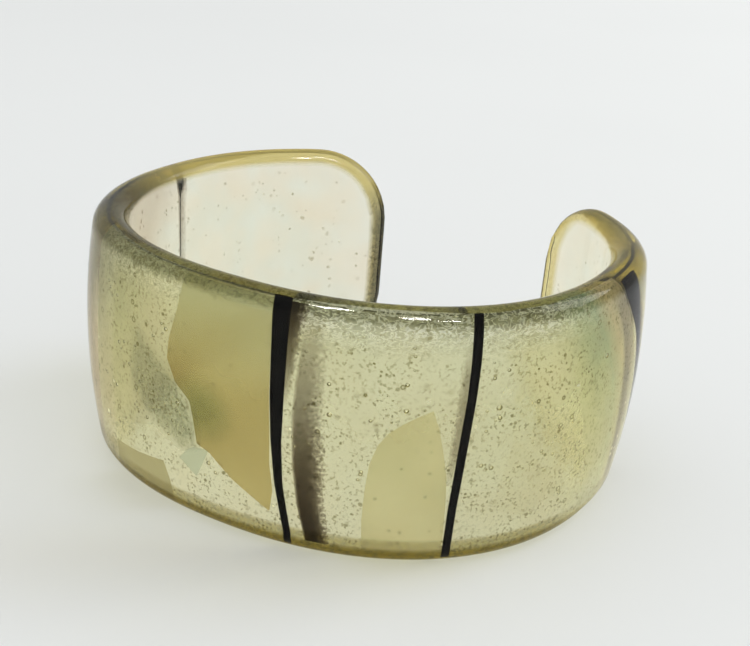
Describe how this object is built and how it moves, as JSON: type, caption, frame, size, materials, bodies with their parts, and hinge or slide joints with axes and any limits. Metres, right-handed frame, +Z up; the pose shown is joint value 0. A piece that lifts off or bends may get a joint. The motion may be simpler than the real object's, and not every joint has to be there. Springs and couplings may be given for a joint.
{
  "type": "fused glass cuff bracelet",
  "caption": "Open oval cuff bracelet of layered fused glass: rippled iridised sheet, black stringers and smooth shards under a clear domed cap.",
  "frame": {"origin": "centre of the bottom rim's bounding box, on the surface the cuff stands on", "axes": "+Z up through the wrist hole; -Y is the front crown, +Y is the open back; +X is to the right seen from the front"},
  "size_m": [0.067, 0.058, 0.0295],
  "materials": {
    "base glass": "lightly frosted wrist side",
    "iridised glass": "rippled, iridised, full of fine seeds",
    "cap glass": "fire-polished",
    "black glass": "opaque black",
    "smoke glass": "transparent smoke grey",
    "olive glass": "transparent olive",
    "beige glass": "transparent beige",
    "blue-grey glass": "transparent pale blue-grey",
    "clear glass": "clear",
    "frit": "granular grey-green frit"
  },
  "bodies": {
    "root": {"base_glass": "base glass", "iridised_sheet": "iridised glass", "cap_glass": "cap glass", "black_stringer_front_left": "black glass", "black_stringer_front_right": "black glass", "black_stringer_side_right": "black glass", "black_stringer_back_left": "black glass", "smoke_strip": "smoke glass", "olive_shard": "olive glass", "leaf_shard": "olive glass", "beige_shard": "beige glass", "blue_grey_shard": "blue-grey glass", "clear_shard": "clear glass", "frit_patch": "frit"}
  },
  "joints": []
}
